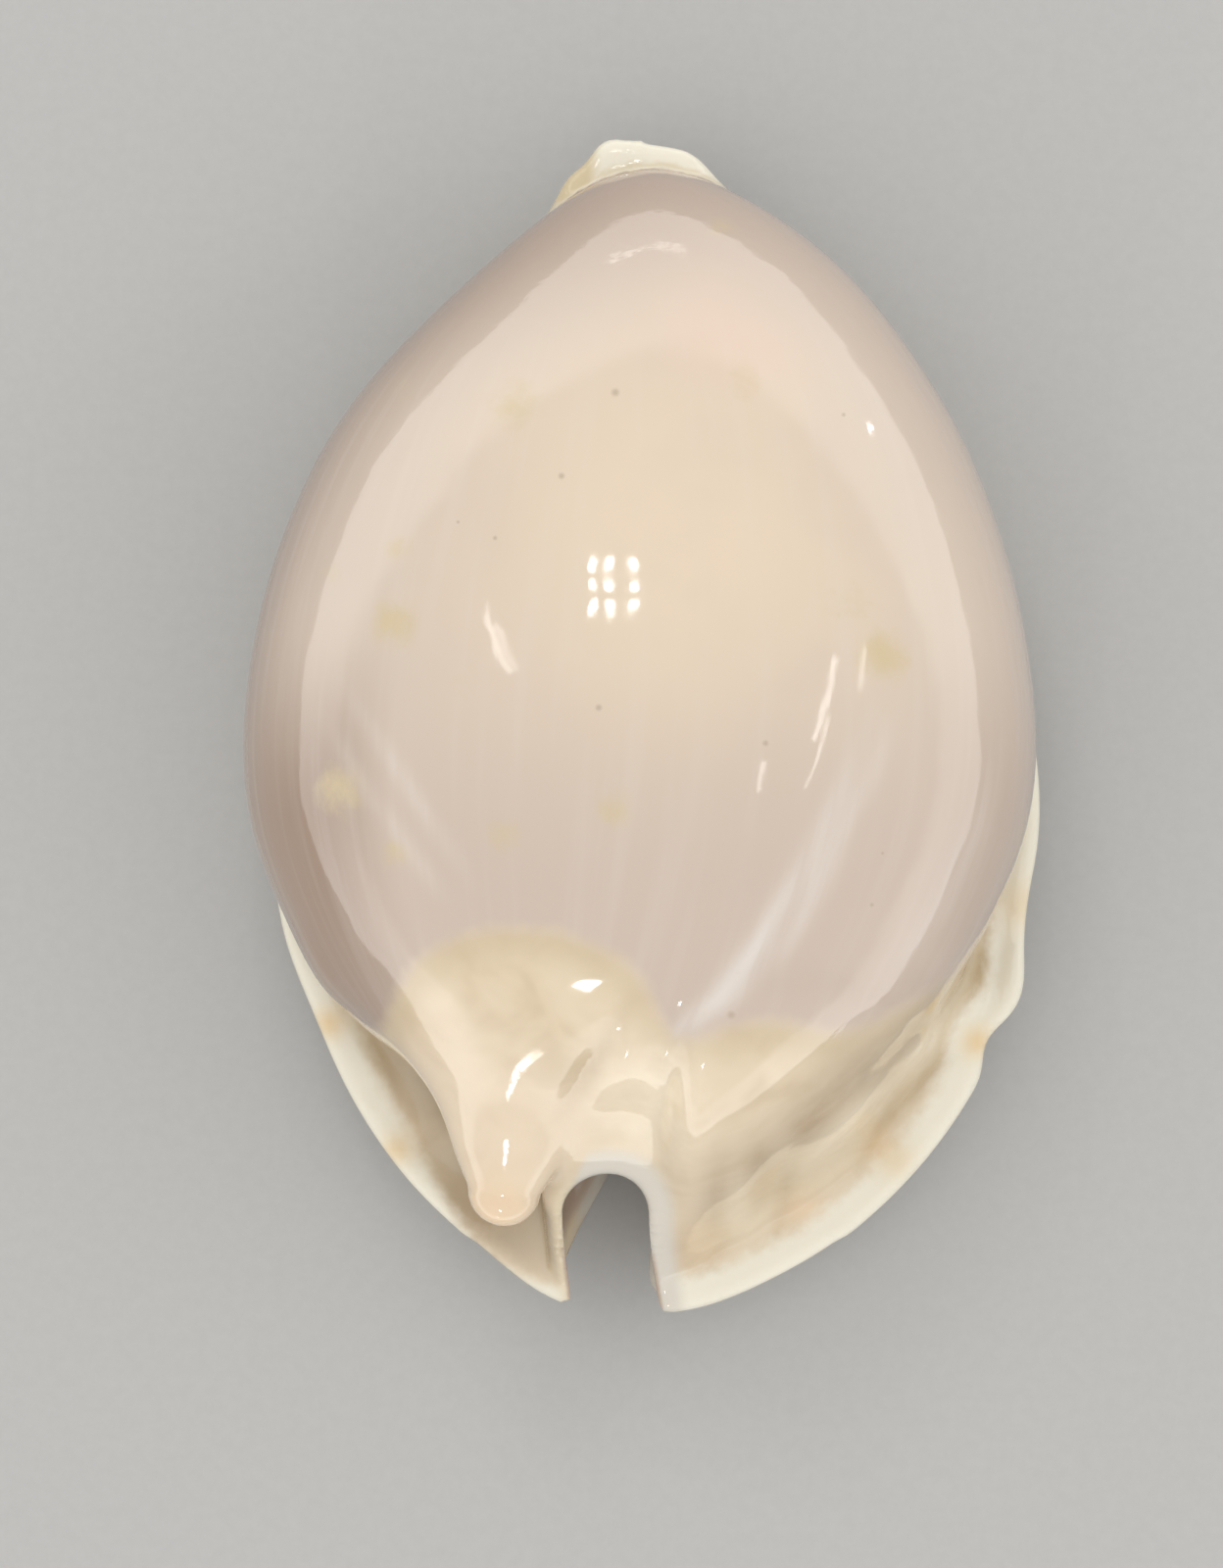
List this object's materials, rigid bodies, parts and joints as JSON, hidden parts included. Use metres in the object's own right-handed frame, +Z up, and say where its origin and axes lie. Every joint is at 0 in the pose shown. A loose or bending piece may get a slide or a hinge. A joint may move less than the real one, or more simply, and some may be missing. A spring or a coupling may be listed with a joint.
{
  "type": "cowrie shell",
  "caption": "Empty margined cowrie shell lying on its base: a glossy humped dome, a bare blunt spire, a U-shaped posterior notch, flared lobes and a toothed slot below.",
  "frame": {"origin": "middle of the bounding box in plan, on the plane that the base rests on", "axes": "+Z up through the dorsum, +Y towards the narrow anterior end, +X towards the outer lip, so the spire is at -Y and -X"},
  "size_m": [0.0397, 0.0586, 0.031],
  "materials": {
    "shell": "high natural gloss, porcelain-like"
  },
  "bodies": {
    "root": {"shell": "shell"}
  },
  "joints": []
}
